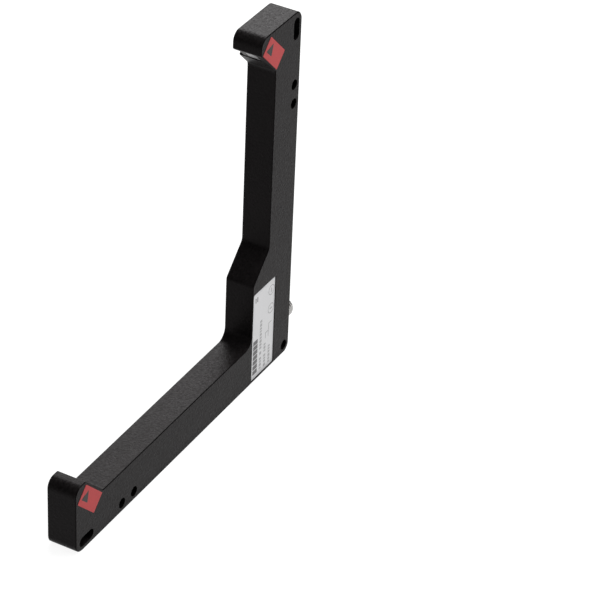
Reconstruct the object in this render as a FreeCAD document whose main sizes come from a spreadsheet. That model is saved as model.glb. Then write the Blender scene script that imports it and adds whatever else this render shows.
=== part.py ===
import FreeCAD, Part
import math
import os
import re
import Sketcher

# Angled light barrier: an L-shaped milled body whose two heads look at each other across the inside of
# the L. Plan coordinates: u runs along the lower leg and v up the upright leg, both from the outer
# corner. Depth is measured from the back face towards the label face. In space the upright leg points
# along +Z, the lower leg along -X, the back face towards +Y, and the origin is the corner hole's centre
# on the back face.

SIZES = {
    # outline of the body
    "leg_length": 150.0,
    "leg_width": 18.0,
    "body_thickness": 12.0,
    "shoulder_width": 29.0,
    "shoulder_height": 45.0,
    "head_reach": 29.0,
    "nose_width": 6.4,
    "corner_radius": 3.5,
    "end_radius": 4.0,
    "nose_radius": 4.0,
    "tip_radius": 0.4,
    "throat_radius": 3.0,
    "step_radius": 3.0,
    "shoulder_radius": 2.5,
    "inner_radius": 4.5,
    "edge_break": 0.3,
    # mounting holes
    "hole_inset": 3.75,
    "corner_bore": 4.2,
    "pair_bore": 4.1,
    "pair_setback": 30.0,
    "pair_pitch": 8.0,
    "slot_width": 4.1,
    "slot_length": 9.0,
    "slot_setback": 6.75,
    # channel and cover
    "cover_inset": 6.9,
    "cover_rim": 1.2,
    "ledge_width": 0.8,
    "bay_reach": 24.0,
    "front_wall": 2.6,
    "recess_radius": 1.5,
    "cover_thickness": 1.6,
    "seal_thickness": 0.3,
    "cover_play": 0.1,
    # cover screws
    "screw_size": 2.0,
    "screw_head": 3.7,
    "screw_length": 5.0,
    "screw_play": 0.05,
    "socket_width": 1.3,
    "socket_depth": 0.8,
    "screw_edge": 2.4,
    "block_width": 4.0,
    "bay_screw": 42.0,
    # label and marks
    "label_left": 11.8,
    "label_bottom": 0.8,
    "label_width": 16.6,
    "label_height": 39.9,
    "label_recess": 0.4,
    "label_radius": 0.8,
    "label_play": 0.15,
    "label_thickness": 0.12,
    "mark_length": 15.4,
    "mark_width": 7.6,
    "mark_from_tip": 1.0,
    "mark_from_face": 0.8,
    "mark_thickness": 0.1,
    # optics, one set in each head
    "window_from_tip": 1.1,
    "window_width": 6.0,
    "window_recess": 0.3,
    "window_thickness": 0.9,
    "optics_play": 0.05,
    "holder_depth": 5.2,
    "holder_foot": 2.0,
    "lens_diameter": 4.2,
    "lens_seat": 2.4,
    "lens_rim": 0.8,
    "lens_crown": 0.4,
    "aperture": 2.8,
    "aperture_length": 0.8,
    "source_pocket": 3.8,
    "source_size": 3.2,
    "source_height": 0.9,
    "source_dome": 2.4,
    "small_board_thickness": 0.8,
    "small_board_tip_side": 2.6,
    "small_board_leg_side": 4.4,
    "small_board_height": 7.2,
    # main board
    "board_play": 0.3,
    "board_standoff": 0.8,
    "board_thickness": 1.0,
    "strip_width": 3.3,
    "board_screw_size": 1.6,
    "board_screw_head": 3.0,
    "board_screw_head_height": 1.0,
    "board_screw_length": 2.6,
    "bay_board_screw_setback": 4.0,
    "board_screw_setback": 32.0,
    # plug connector
    "connector_height": 13.7,
    "plug_thread": 8.0,
    "plug_seat": 7.6,
    "plug_relief": 0.5,
    "plug_reach": 7.2,
    "plug_engagement": 5.0,
    "plug_chamfer": 0.5,
    "plug_bore": 6.5,
    "plug_bore_depth": 5.4,
    "carrier_bore": 5.5,
    "carrier_flange": 1.2,
    "carrier_tail": 7.4,
    "pin_size": 1.0,
    "pin_circle": 3.8,
    "pin_setback": 1.0,
    "pin_tail": 10.0,
    "plug_seal_section": 1.0,
    "plug_passage": 6.2,
    # sensitivity setting and indicator
    "adjuster_height": 27.0,
    "spindle_head": 4.0,
    "spindle_recess": 0.4,
    "spindle_head_length": 4.4,
    "spindle_neck": 2.0,
    "running_clearance": 0.05,
    "spindle_slot": 0.7,
    "spindle_slot_depth": 1.0,
    "groove_depth": 0.65,
    "groove_width": 0.8,
    "groove_setback": 1.9,
    "ring_section": 0.6,
    "blade_thickness": 0.6,
    "blade_length": 0.8,
    "trimmer_gap": 0.6,
    "trimmer_length": 4.0,
    "trimmer_width": 4.5,
    "rotor_size": 2.6,
    "rotor_length": 3.0,
    "status_height": 36.0,
    "guide_size": 3.0,
    "guide_crown": 0.4,
    "indicator_length": 1.6,
    "indicator_width": 2.5,
    "indicator_height": 2.8,
    # components on the main board
    "controller_size": 5.0,
    "controller_height": 0.9,
    "controller_setback": 8.0,
    "controller_up": 21.5,
    "regulator_length": 6.5,
    "regulator_width": 3.5,
    "regulator_height": 1.6,
    "regulator_setback": 6.25,
    "regulator_up": 31.0,
    "transistor_length": 3.0,
    "transistor_width": 1.6,
    "transistor_height": 1.1,
    "transistor_across": 14.5,
    "transistor_up": 14.6,
    "capacitor_length": 3.5,
    "capacitor_width": 2.8,
    "capacitor_height": 1.9,
    "capacitor_across": 13.4,
    "capacitor_up": 37.6,
    "capacitor_pitch": 4.4,
    "head_chip_size": 3.0,
    "head_chip_height": 0.9,
    "head_chip_setback": 5.2,
    "head_chip_across": 15.4,
}

# Levels closer than this, in millimetres, count as one
NEAR = 0.01

doc = FreeCAD.newDocument("AngledForkSensor")
dims = doc.addObject("Spreadsheet::Sheet", "Dims")


def fill_sheet():
    """One row for each size: its name in column A and its value, with the name as alias, in column B."""
    for row, (name, value) in enumerate(SIZES.items(), start=1):
        dims.set("A%d" % row, name)
        dims.set("B%d" % row, str(value))
        dims.setAlias("B%d" % row, name)
    doc.recompute()


def bind(text):
    """Write the sheet's name before every size in an expression."""
    return re.sub(r"[a-z_]+", lambda m: "Dims." + m.group(0) if m.group(0) in SIZES else m.group(0), text)


def number(text):
    """Present value of an expression."""
    return float(dims.evalExpression(bind(text)))


# Levels and places that several pieces share, each written once as an expression of the sizes
FLOOR = "body_thickness - front_wall"
LEDGE = "cover_thickness + seal_thickness"
BOARD_BOTTOM = "%s - board_standoff" % FLOOR
BOARD_TOP = "%s - board_thickness" % BOARD_BOTTOM
AXIS_LEVEL = "body_thickness / 2"
CHANNEL_INSET = "cover_inset + ledge_width"
SCREW_INSET = "cover_inset + screw_edge"
SCREW_HEAD_END = "leg_length - cover_rim - screw_edge"
BEAM_ALONG = "window_from_tip + window_width / 2"
WINDOW_BACK = "window_recess + window_thickness"
HOLDER_BACK = "%s + holder_depth" % WINDOW_BACK
OPTICS_BACK = "%s + small_board_thickness" % HOLDER_BACK
BOARD_EDGE = "%s + board_play" % CHANNEL_INSET
STRIP_EDGE = "%s + strip_width" % BOARD_EDGE
STRIP_MIDDLE = "%s + strip_width / 2" % BOARD_EDGE
TRIMMER_FRONT = "%s + trimmer_gap" % CHANNEL_INSET


def swap(points):
    """The same plan points mirrored in the diagonal of the L, for the other leg."""
    return [(v, u) for u, v in points]


def outline(outer, rim, bay):
    """Plan of the L by corner names. outer: distance from the two outer faces; rim: distance from all
    other faces; bay: how far the wide part reaches from the upright leg's outer face."""
    lean = "(%s) * tan(22.5 deg)" % rim
    end = "leg_length - (%s)" % rim
    reach = "head_reach - (%s)" % rim
    tip = "leg_length - nose_width + %s" % lean
    throat = "leg_length - nose_width - head_reach + leg_width + %s" % lean
    inner = "leg_width - (%s)" % rim
    slope = "shoulder_height + shoulder_width - (%s) / cos(45 deg)" % rim
    return {
        "corner": (outer, outer),
        "lower_end": (end, outer),
        "lower_nose": (end, reach),
        "lower_tip": (tip, reach),
        "lower_throat": (throat, inner),
        "inner": (bay, inner),
        "shoulder": (bay, "%s - (%s)" % (slope, bay)),
        "step": (inner, "%s - (%s)" % (slope, inner)),
        "upper_throat": (inner, throat),
        "upper_tip": (reach, tip),
        "upper_nose": (reach, end),
        "upper_end": (outer, end),
    }


BODY = outline("0", "0", "shoulder_width")
RECESS = outline("cover_inset", "cover_rim", "bay_reach")
CHANNEL = outline(CHANNEL_INSET, "cover_rim + ledge_width", "bay_reach - ledge_width")
COVER = outline("cover_inset + cover_play", "cover_rim + cover_play", "bay_reach - cover_play")

COVER_SCREWS = [
    (SCREW_INSET, SCREW_INSET),
    ("bay_reach - screw_edge", "bay_screw"),
    (SCREW_INSET, SCREW_HEAD_END),
    (SCREW_HEAD_END, SCREW_INSET),
]

BOARD_SCREWS = [
    ("bay_reach - bay_board_screw_setback", "connector_height"),
    (STRIP_MIDDLE, "leg_length - board_screw_setback"),
    ("leg_length - board_screw_setback", STRIP_MIDDLE),
]


def slant(along, depth):
    """Plan point in the upright leg's head: along the slanted face from its tip, and depth behind it."""
    u = "head_reach - ((%s) + (%s)) * cos(45 deg)" % (along, depth)
    v = "leg_length - nose_width - ((%s) - (%s)) * cos(45 deg)" % (along, depth)
    return (u, v)


def slant_box(along, length, depth, width):
    """Corners of a rectangle that lies along the slanted face of the upright leg's head."""
    far = "%s + %s" % (along, length)
    deep = "%s + %s" % (depth, width)
    return [slant(along, depth), slant(far, depth), slant(far, deep), slant(along, deep)]


def plan(point):
    """Sketch coordinates, on the back face's plane, of a plan point."""
    u, v = point
    return ("hole_inset - (%s)" % u, "(%s) - hole_inset" % v)


# Feature helpers

def new_body(label):
    body = doc.addObject("PartDesign::Body", label)
    body.Label = label
    return body


def origin_plane(body, role):
    return [item for item in body.Origin.OriginFeatures if item.Role == role][0]


def sketch_on(body, role, level="0"):
    """Sketch on one of the body's own origin planes, moved along the plane's normal by level."""
    sketch = body.newObject("Sketcher::SketchObject", body.Label + "_sketch")
    sketch.AttachmentSupport = [(origin_plane(body, role), "")]
    sketch.MapMode = "FlatFace"
    sketch.setExpression("AttachmentOffset.Base.z", bind(level))
    return sketch


def fix_point(sketch, item, position, x, y):
    """Tie a sketch point to the expressions of its two coordinates."""
    for kind, text in (("DistanceX", x), ("DistanceY", y)):
        index = sketch.addConstraint(Sketcher.Constraint(kind, -1, 1, item, position, number(text)))
        sketch.setExpression("Constraints[%d]" % index, bind(text))


def polygon(sketch, points):
    """Closed outline through the points, each point tied to its own pair of expressions."""
    places = [FreeCAD.Vector(number(x), number(y), 0) for x, y in points]
    first = sketch.GeometryCount
    count = len(points)
    for i in range(count):
        sketch.addGeometry(Part.LineSegment(places[i], places[(i + 1) % count]), False)
    for i in range(count):
        sketch.addConstraint(Sketcher.Constraint("Coincident", first + i, 2, first + (i + 1) % count, 1))
    for i, (x, y) in enumerate(points):
        fix_point(sketch, first + i, 1, x, y)


def rounded_polygon(sketch, points, radii):
    """Closed outline with rounded corners. Each side runs through two fixed corner points, and an arc
    touches the two sides that meet at a corner."""
    corners = [FreeCAD.Vector(number(x), number(y), 0) for x, y in points]
    count = len(points)
    bends = [corner_bend(corners[i - 1], corners[i], corners[(i + 1) % count], number(radii[i]))
             for i in range(count)]
    lines = [Part.LineSegment(bends[i]["leave"], bends[(i + 1) % count]["enter"]) for i in range(count)]
    side = sketch.addGeometry(lines, False)
    arc = sketch.addGeometry([bend["arc"] for bend in bends], False)
    mark = sketch.addGeometry([Part.Point(corner) for corner in corners], True)
    sizes = []
    rules = []
    for i, (x, y) in enumerate(points):
        sizes.append((Sketcher.Constraint("DistanceX", -1, 1, mark[i], 1, number(x)), x))
        sizes.append((Sketcher.Constraint("DistanceY", -1, 1, mark[i], 1, number(y)), y))
        sizes.append((Sketcher.Constraint("Radius", arc[i], number(radii[i])), radii[i]))
        first, last = (1, 2) if bends[i]["left"] else (2, 1)
        rules.append(Sketcher.Constraint("Tangent", side[i - 1], 2, arc[i], first))
        rules.append(Sketcher.Constraint("Tangent", side[i], 1, arc[i], last))
        rules.append(Sketcher.Constraint("PointOnObject", mark[i], 1, side[i - 1]))
        rules.append(Sketcher.Constraint("PointOnObject", mark[i], 1, side[i]))
    places = sketch.addConstraint([size[0] for size in sizes] + rules)
    for index, (_, text) in zip(places, sizes):
        sketch.setExpression("Constraints[%d]" % index, bind(text))


def corner_bend(before, corner, after, radius):
    """Arc that rounds a corner, where a walk along the outline enters and leaves it, and whether the
    walk turns left there."""
    back = (before - corner).normalize()
    on = (after - corner).normalize()
    half = back.getAngle(on) / 2
    enter = corner + back * (radius / math.tan(half))
    leave = corner + on * (radius / math.tan(half))
    centre = corner + (back + on).normalize() * (radius / math.sin(half))
    left = on.cross(back).z > 0
    start, end = [math.atan2(point.y - centre.y, point.x - centre.x)
                  for point in ((enter, leave) if left else (leave, enter))]
    if end < start:
        end += 2 * math.pi
    arc = Part.ArcOfCircle(Part.Circle(centre, FreeCAD.Vector(0, 0, 1), radius), start, end)
    return {"enter": enter, "leave": leave, "left": left, "arc": arc}


def rectangle_points(left, bottom, width, height):
    right = "(%s) + (%s)" % (left, width)
    top = "(%s) + (%s)" % (bottom, height)
    return [(left, bottom), (right, bottom), (right, top), (left, top)]


def rectangle(sketch, left, bottom, width, height):
    polygon(sketch, rectangle_points(left, bottom, width, height))


def fix_radius(sketch, item, radius):
    index = sketch.addConstraint(Sketcher.Constraint("Radius", item, number(radius)))
    sketch.setExpression("Constraints[%d]" % index, bind(radius))


def circle(sketch, centre, diameter):
    x, y = centre
    radius = "(%s) / 2" % diameter
    middle = FreeCAD.Vector(number(x), number(y), 0)
    item = sketch.addGeometry(Part.Circle(middle, FreeCAD.Vector(0, 0, 1), number(radius)), False)
    fix_point(sketch, item, 3, x, y)
    fix_radius(sketch, item, radius)


def slot(sketch, start, end, width):
    """Round-ended slot between two arc centres that lie side by side or one above the other."""
    radius = "(%s) / 2" % width
    a = FreeCAD.Vector(number(start[0]), number(start[1]), 0)
    b = FreeCAD.Vector(number(end[0]), number(end[1]), 0)
    across = FreeCAD.Vector(0, 0, 1).cross(b - a).normalize() * number(radius)
    beyond = (b - a).normalize() * number(radius)
    first = sketch.GeometryCount
    sketch.addGeometry(Part.LineSegment(a - across, b - across), False)
    sketch.addGeometry(Part.Arc(b - across, b + beyond, b + across), False)
    sketch.addGeometry(Part.LineSegment(b + across, a + across), False)
    sketch.addGeometry(Part.Arc(a + across, a - beyond, a - across), False)
    for i in range(4):
        sketch.addConstraint(Sketcher.Constraint("Tangent", first + i, 2, first + (i + 1) % 4, 1))
    fix_point(sketch, first + 1, 3, *end)
    fix_point(sketch, first + 3, 3, *start)
    fix_radius(sketch, first + 1, radius)


def extrude(body, kind, sketch, length, reverse):
    feature = body.newObject("PartDesign::" + kind, body.Label + "_" + kind.lower())
    feature.Profile = sketch
    if length is None:
        feature.Type = 1
    else:
        feature.setExpression("Length", bind(length))
    feature.Reversed = reverse
    return feature


def pad(body, sketch, length, reverse=False):
    before = body.Shape.Volume if body.Tip else 0.0
    feature = extrude(body, "Pad", sketch, length, reverse)
    doc.recompute()
    if feature.Shape.Volume <= before:
        raise ValueError("pad adds nothing in " + body.Label)
    return feature


def pocket(body, sketch, length=None, reverse=False):
    before = body.Shape.Volume
    feature = extrude(body, "Pocket", sketch, length, reverse)
    doc.recompute()
    if feature.Shape.Volume >= before:
        raise ValueError("pocket cuts nothing in " + body.Label)
    return feature


def turned(body, points, kind="Revolution"):
    """Turned form about the body's own Z axis from a profile of radius and height."""
    sketch = sketch_on(body, "XZ_Plane")
    polygon(sketch, points)
    feature = body.newObject("PartDesign::" + kind, body.Label + "_turning")
    feature.Profile = sketch
    feature.ReferenceAxis = (sketch, ["V_Axis"])
    feature.Angle = 360
    doc.recompute()
    return feature


def ring(body, middle_radius, height, section):
    """Seal ring about the body's own Z axis, with a square section."""
    half = "%s / 2" % section
    turned(body, rectangle_points("%s - %s" % (middle_radius, half), "%s - %s" % (height, half),
                                  section, section))


def edge_names(shape, keep):
    return ["Edge%d" % (i + 1) for i, edge in enumerate(shape.Edges) if keep(edge)]


def dress(body, kind, size, keep):
    """Fillet or chamfer on the edges of the present tip that keep picks."""
    base = body.Tip
    names = edge_names(base.Shape, keep)
    if not names:
        raise ValueError("no edge to dress in " + body.Label)
    feature = body.newObject("PartDesign::" + kind, body.Label + "_" + kind.lower())
    feature.Base = (base, names)
    feature.setExpression("Radius" if kind == "Fillet" else "Size", bind(size))
    doc.recompute()
    return feature


def outer_rim(shape, thickness):
    """Picks the edges round the outside of the back face and of the label face."""
    rim = []
    for face in shape.Faces:
        box = face.BoundBox
        if box.YLength < NEAR and (abs(box.YMax) < NEAR or abs(box.YMax + thickness) < NEAR):
            rim += face.OuterWire.Edges
    return lambda edge: any(edge.isSame(other) for other in rim)


def plan_sketch(body, depth="0"):
    return sketch_on(body, "XZ_Plane", depth)


def plan_polygon(sketch, points):
    polygon(sketch, [plan(point) for point in points])


def plan_outline(sketch, corners, offset):
    """Rounded plan of a recess or cover whose edge lies offset inside the body's outline."""
    noses = ("lower_nose", "upper_nose")
    radii = ["nose_radius - (%s)" % offset if name in noses else "recess_radius" for name in corners]
    rounded_polygon(sketch, [plan(point) for point in corners.values()], radii)


def plan_circles(sketch, points, diameter):
    for point in points:
        circle(sketch, plan(point), diameter)


def plan_squares(sketch, points, side):
    for u, v in points:
        corners = rectangle_points("%s - (%s) / 2" % (u, side), "%s - (%s) / 2" % (v, side), side, side)
        plan_polygon(sketch, corners)


def place(item, x, y, z, axis=(0, 1, 0), angle=0.0):
    """Set a sub-part in space: a fixed turn, and a position tied to the sizes."""
    item.Placement = FreeCAD.Placement(FreeCAD.Vector(), FreeCAD.Rotation(FreeCAD.Vector(*axis), angle))
    item.setExpression("Placement.Base.x", bind(x))
    item.setExpression("Placement.Base.y", bind(y))
    item.setExpression("Placement.Base.z", bind(z))


def place_in_plan(item, point, depth):
    """Own Z axis square to the back face and pointing out of it, origin at a plan point and a depth."""
    x, z = plan(point)
    place(item, x, "-(%s)" % depth, z, (1, 0, 0), -90)


def place_on_side(item, height, inward="0"):
    """Own Z axis out of the upright leg's outer face, at mid thickness, at a height above the corner."""
    place(item, "hole_inset - (%s)" % inward, "-(%s)" % AXIS_LEVEL, "%s - hole_inset" % height,
          (0, 1, 0), 90)


def place_behind_window(item, head):
    """Own Z axis along the beam into the head, own Y towards the back face, origin in the window."""
    point = slant(BEAM_ALONG, "0")
    if head["mirror"]:
        point = point[::-1]
    x, z = plan(point)
    place(item, x, "-(%s)" % AXIS_LEVEL, z, (0, 1, 0), head["turn"])


def group(label, items):
    """Several separate, identical solids in one sub-part."""
    compound = doc.addObject("Part::Compound", label)
    compound.Label = label
    compound.Links = items
    doc.recompute()


# Body

BODY_RADII = {
    "corner": "corner_radius",
    "lower_end": "end_radius",
    "lower_nose": "nose_radius",
    "lower_tip": "tip_radius",
    "lower_throat": "throat_radius",
    "inner": "inner_radius",
    "shoulder": "shoulder_radius",
    "step": "step_radius",
    "upper_throat": "throat_radius",
    "upper_tip": "tip_radius",
    "upper_nose": "nose_radius",
    "upper_end": "end_radius",
}


def make_housing():
    body = new_body("housing")
    sketch = plan_sketch(body)
    rounded_polygon(sketch, [plan(point) for point in BODY.values()], [BODY_RADII[name] for name in BODY])
    pad(body, sketch, "body_thickness")
    dress(body, "Chamfer", "edge_break", outer_rim(body.Tip.Shape, number("body_thickness")))
    cut_channel(body)
    cut_mounting_holes(body)
    cut_windows(body)
    cut_label_recess(body)
    cut_side_bores(body)


def cut_channel(body):
    """Seat for the cover, channel below it, and the blocks for the screws that stand in the channel."""
    sketch = plan_sketch(body)
    plan_outline(sketch, RECESS, "cover_rim")
    pocket(body, sketch, LEDGE, reverse=True)
    sketch = plan_sketch(body, LEDGE)
    plan_outline(sketch, CHANNEL, "cover_rim + ledge_width")
    pocket(body, sketch, "%s - (%s)" % (FLOOR, LEDGE), reverse=True)
    sketch = plan_sketch(body, FLOOR)
    plan_squares(sketch, COVER_SCREWS, "block_width")
    pad(body, sketch, "%s - (%s)" % (FLOOR, LEDGE), reverse=True)
    sketch = plan_sketch(body, FLOOR)
    plan_squares(sketch, BOARD_SCREWS, "board_screw_head")
    pad(body, sketch, "board_standoff", reverse=True)
    sketch = plan_sketch(body, LEDGE)
    plan_circles(sketch, COVER_SCREWS, "screw_size + 2 * screw_play")
    pocket(body, sketch, "screw_length - (%s) + 2 * screw_size / 5" % LEDGE, reverse=True)
    sketch = plan_sketch(body, BOARD_BOTTOM)
    plan_circles(sketch, BOARD_SCREWS, "board_screw_size + 2 * screw_play")
    pocket(body, sketch, "board_screw_length - board_thickness + 2 * screw_play", reverse=True)


def cut_mounting_holes(body):
    sketch = plan_sketch(body)
    circle(sketch, plan(("hole_inset", "hole_inset")), "corner_bore")
    pair = [
        ("hole_inset", "leg_length - pair_setback"),
        ("hole_inset", "leg_length - pair_setback - pair_pitch"),
    ]
    plan_circles(sketch, pair, "pair_bore")
    plan_circles(sketch, swap(pair), "pair_bore")
    half = "(slot_length - slot_width) / 2"
    ends = [
        ("hole_inset", "leg_length - slot_setback - %s" % half),
        ("hole_inset", "leg_length - slot_setback + %s" % half),
    ]
    slot(sketch, plan(ends[0]), plan(ends[1]), "slot_width")
    slot(sketch, plan(ends[0][::-1]), plan(ends[1][::-1]), "slot_width")
    pocket(body, sketch, reverse=True)


def cut_windows(body):
    """Light windows: a straight cut from the back face down to the channel's floor, through each
    slanted wall."""
    through = "window_recess + cover_rim + ledge_width + optics_play"
    opening = slant_box("window_from_tip", "window_width", "-window_recess", through)
    sketch = plan_sketch(body)
    plan_polygon(sketch, opening)
    plan_polygon(sketch, swap(opening))
    pocket(body, sketch, FLOOR, reverse=True)


def cut_label_recess(body):
    sketch = plan_sketch(body, "body_thickness")
    corners = rectangle_points("label_left", "label_bottom", "label_width", "label_height")
    rounded_polygon(sketch, [plan(point) for point in corners], ["label_radius"] * 4)
    pocket(body, sketch, "label_recess")


def side_sketch(body, inward="0"):
    """Sketch on the upright leg's outer face, or inward of it; its axes are Y and Z."""
    return sketch_on(body, "YZ_Plane", "hole_inset - (%s)" % inward)


def side_point(height):
    return ("-(%s)" % AXIS_LEVEL, "%s - hole_inset" % height)


def cut_side_bores(body):
    """Bores from the upright leg's outer face into the channel: plug, sensitivity setting, indicator."""
    through = CHANNEL_INSET + " + screw_play"
    spindle_seat = "spindle_recess + spindle_head_length + running_clearance"
    steps = [
        ("connector_height", "plug_seat + 2 * screw_play", "plug_engagement + plug_seal_section"),
        ("connector_height", "plug_passage", through),
        ("adjuster_height", "spindle_head + 2 * running_clearance", spindle_seat),
        ("adjuster_height", "spindle_neck + 2 * running_clearance", through),
        ("status_height", "guide_size + 2 * screw_play", through),
    ]
    for height, diameter, depth in steps:
        sketch = side_sketch(body)
        circle(sketch, side_point(height), diameter)
        pocket(body, sketch, depth)


# Back cover

def make_cover():
    body = new_body("back_cover")
    sketch = plan_sketch(body)
    plan_outline(sketch, COVER, "cover_rim + cover_play")
    pad(body, sketch, "cover_thickness")
    sketch = plan_sketch(body)
    plan_circles(sketch, COVER_SCREWS, "screw_size")
    doc.recompute()
    hole = body.newObject("PartDesign::Hole", "back_cover_hole")
    hole.Profile = sketch
    hole.DepthType = "ThroughAll"
    hole.Reversed = True
    hole.setExpression("Diameter", bind("screw_size + 6 * screw_play"))
    hole.HoleCutType = "Countersink"
    hole.HoleCutCustomValues = True
    hole.setExpression("HoleCutDiameter", bind("screw_head + 2 * screw_play"))
    hole.HoleCutCountersinkAngle = 90
    before = body.Shape.Volume
    doc.recompute()
    if hole.Shape.Volume >= before:
        raise ValueError("cover holes cut nothing")


def make_cover_seal():
    """Flat gasket on the ledge, all round the channel."""
    body = new_body("cover_seal")
    sketch = plan_sketch(body, "cover_thickness")
    plan_outline(sketch, COVER, "cover_rim + cover_play")
    plan_outline(sketch, CHANNEL, "cover_rim + ledge_width")
    pad(body, sketch, "seal_thickness")


def make_cover_screws():
    """Countersunk screws with a hexagon socket, head flush with the back face."""
    screws = []
    for i, point in enumerate(COVER_SCREWS):
        body = new_body("cover_screw_%d" % (i + 1))
        turned(body, [
            ("0", "0"),
            ("screw_head / 2", "0"),
            ("screw_size / 2", "(screw_size - screw_head) / 2"),
            ("screw_size / 2", "-screw_length"),
            ("0", "-screw_length"),
        ])
        cut_socket(body, "socket_width", "socket_depth")
        place_in_plan(body, point, "0")
        screws.append(body)
    group("cover_screws", screws)


def cut_socket(body, width, depth):
    """Hexagon socket from the body's own XY plane down."""
    sketch = sketch_on(body, "XY_Plane")
    corner = "(%s) / cos(30 deg) / 2" % width
    turns = range(0, 360, 60)
    polygon(sketch, [("%s * cos(%d deg)" % (corner, a), "%s * sin(%d deg)" % (corner, a)) for a in turns])
    pocket(body, sketch, depth)


# Label and marks

def make_label():
    body = new_body("type_label")
    sketch = plan_sketch(body, "body_thickness - label_recess")
    corners = rectangle_points("label_left + label_play", "label_bottom + label_play",
                               "label_width - 2 * label_play", "label_height - 2 * label_play")
    rounded_polygon(sketch, [plan(point) for point in corners], ["label_radius - label_play"] * 4)
    pad(body, sketch, "label_thickness")


def make_mark(label, mirror):
    """Sticker on the label face, along a slanted face."""
    body = new_body(label)
    corners = slant_box("mark_from_tip", "mark_length", "mark_from_face", "mark_width")
    if mirror:
        corners = swap(corners)
    sketch = plan_sketch(body, "body_thickness")
    plan_polygon(sketch, corners)
    pad(body, sketch, "mark_thickness")


# Optics: each piece in its own frame, Z along the beam into the head, Y towards the back face

HEADS = {
    "receiver": {"mirror": False, "turn": 45, "side": ""},
    "emitter": {"mirror": True, "turn": 225, "side": "-"},
}

FLOOR_DROP = "%s - (%s)" % (AXIS_LEVEL, FLOOR)
LEDGE_RISE = "%s - (%s)" % (AXIS_LEVEL, LEDGE)


def optics_plate(body, head, tip_side, leg_side, low, high, front, back):
    """Plate square to the beam, from tip_side to leg_side across it and from front to back along it."""
    side = head["side"]
    sketch = sketch_on(body, "XY_Plane", front)
    polygon(sketch, [
        ("%s(-(%s))" % (side, tip_side), low),
        ("%s(%s)" % (side, leg_side), low),
        ("%s(%s)" % (side, leg_side), high),
        ("%s(-(%s))" % (side, tip_side), high),
    ])
    pad(body, sketch, "(%s) - (%s)" % (back, front))


def make_window(name, head):
    body = new_body(name + "_window")
    half = "window_width / 2 - optics_play"
    optics_plate(body, head, half, half, FLOOR_DROP, LEDGE_RISE, "window_recess", WINDOW_BACK)
    place_behind_window(body, head)


def make_holder(name, head):
    """Optics block: front part in the window cut, foot behind the slanted wall, stepped light bore, and a
    square pocket for the light source."""
    body = new_body(name + "_holder")
    half = "window_width / 2 - optics_play * 2"
    optics_plate(body, head, half, half, FLOOR_DROP, LEDGE_RISE, WINDOW_BACK, HOLDER_BACK)
    foot_front = "cover_rim + ledge_width + optics_play"
    leg_side = "%s + holder_foot" % half
    optics_plate(body, head, half, leg_side, FLOOR_DROP, LEDGE_RISE, foot_front, HOLDER_BACK)
    bores = [
        ("lens_diameter + 2 * optics_play", WINDOW_BACK, "lens_seat"),
        ("aperture", "%s + lens_seat" % WINDOW_BACK, "aperture_length"),
    ]
    for diameter, front, length in bores:
        sketch = sketch_on(body, "XY_Plane", front)
        circle(sketch, ("0", "0"), diameter)
        pocket(body, sketch, length, reverse=True)
    sketch = sketch_on(body, "XY_Plane", "%s + lens_seat + aperture_length" % WINDOW_BACK)
    rectangle(sketch, "-source_pocket / 2", "-source_pocket / 2", "source_pocket", "source_pocket")
    pocket(body, sketch, "holder_depth - lens_seat - aperture_length", reverse=True)
    place_behind_window(body, head)


def make_lens(name, head):
    """Plano-convex lens: flat side on the aperture's shoulder, crown towards the window."""
    body = new_body(name + "_lens")
    back = "%s + lens_seat" % WINDOW_BACK
    rim = "%s - lens_rim" % back
    crown = "%s - lens_crown" % rim
    radius = "lens_diameter / 2"
    sketch = sketch_on(body, "XZ_Plane")
    sag = number("lens_crown")
    half = number(radius)
    ball = (half * half + sag * sag) / (2 * sag)
    bottom = FreeCAD.Vector(0, number(crown), 0)
    edge = FreeCAD.Vector(half, number(rim), 0)
    middle = FreeCAD.Vector(half / 2, number(crown) + ball - (ball * ball - half * half / 4) ** 0.5, 0)
    corner = FreeCAD.Vector(half, number(back), 0)
    top = FreeCAD.Vector(0, number(back), 0)
    sketch.addGeometry(Part.Arc(bottom, middle, edge), False)
    sketch.addGeometry(Part.LineSegment(edge, corner), False)
    sketch.addGeometry(Part.LineSegment(corner, top), False)
    sketch.addGeometry(Part.LineSegment(top, bottom), False)
    for i in range(4):
        sketch.addConstraint(Sketcher.Constraint("Coincident", i, 2, (i + 1) % 4, 1))
    sketch.addConstraint(Sketcher.Constraint("PointOnObject", 0, 3, -2))
    fix_point(sketch, 0, 1, "0", crown)
    fix_point(sketch, 1, 1, radius, rim)
    fix_point(sketch, 2, 1, radius, back)
    fix_point(sketch, 3, 1, "0", back)
    feature = body.newObject("PartDesign::Revolution", body.Label + "_turning")
    feature.Profile = sketch
    feature.ReferenceAxis = (sketch, ["V_Axis"])
    feature.Angle = 360
    doc.recompute()
    place_behind_window(body, head)


def make_small_board(name, head):
    body = new_body(name + "_board")
    high = "%s + small_board_height" % FLOOR_DROP
    tip_side = "small_board_tip_side"
    leg_side = "small_board_leg_side"
    optics_plate(body, head, tip_side, leg_side, FLOOR_DROP, high, HOLDER_BACK, OPTICS_BACK)
    place_behind_window(body, head)


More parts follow.
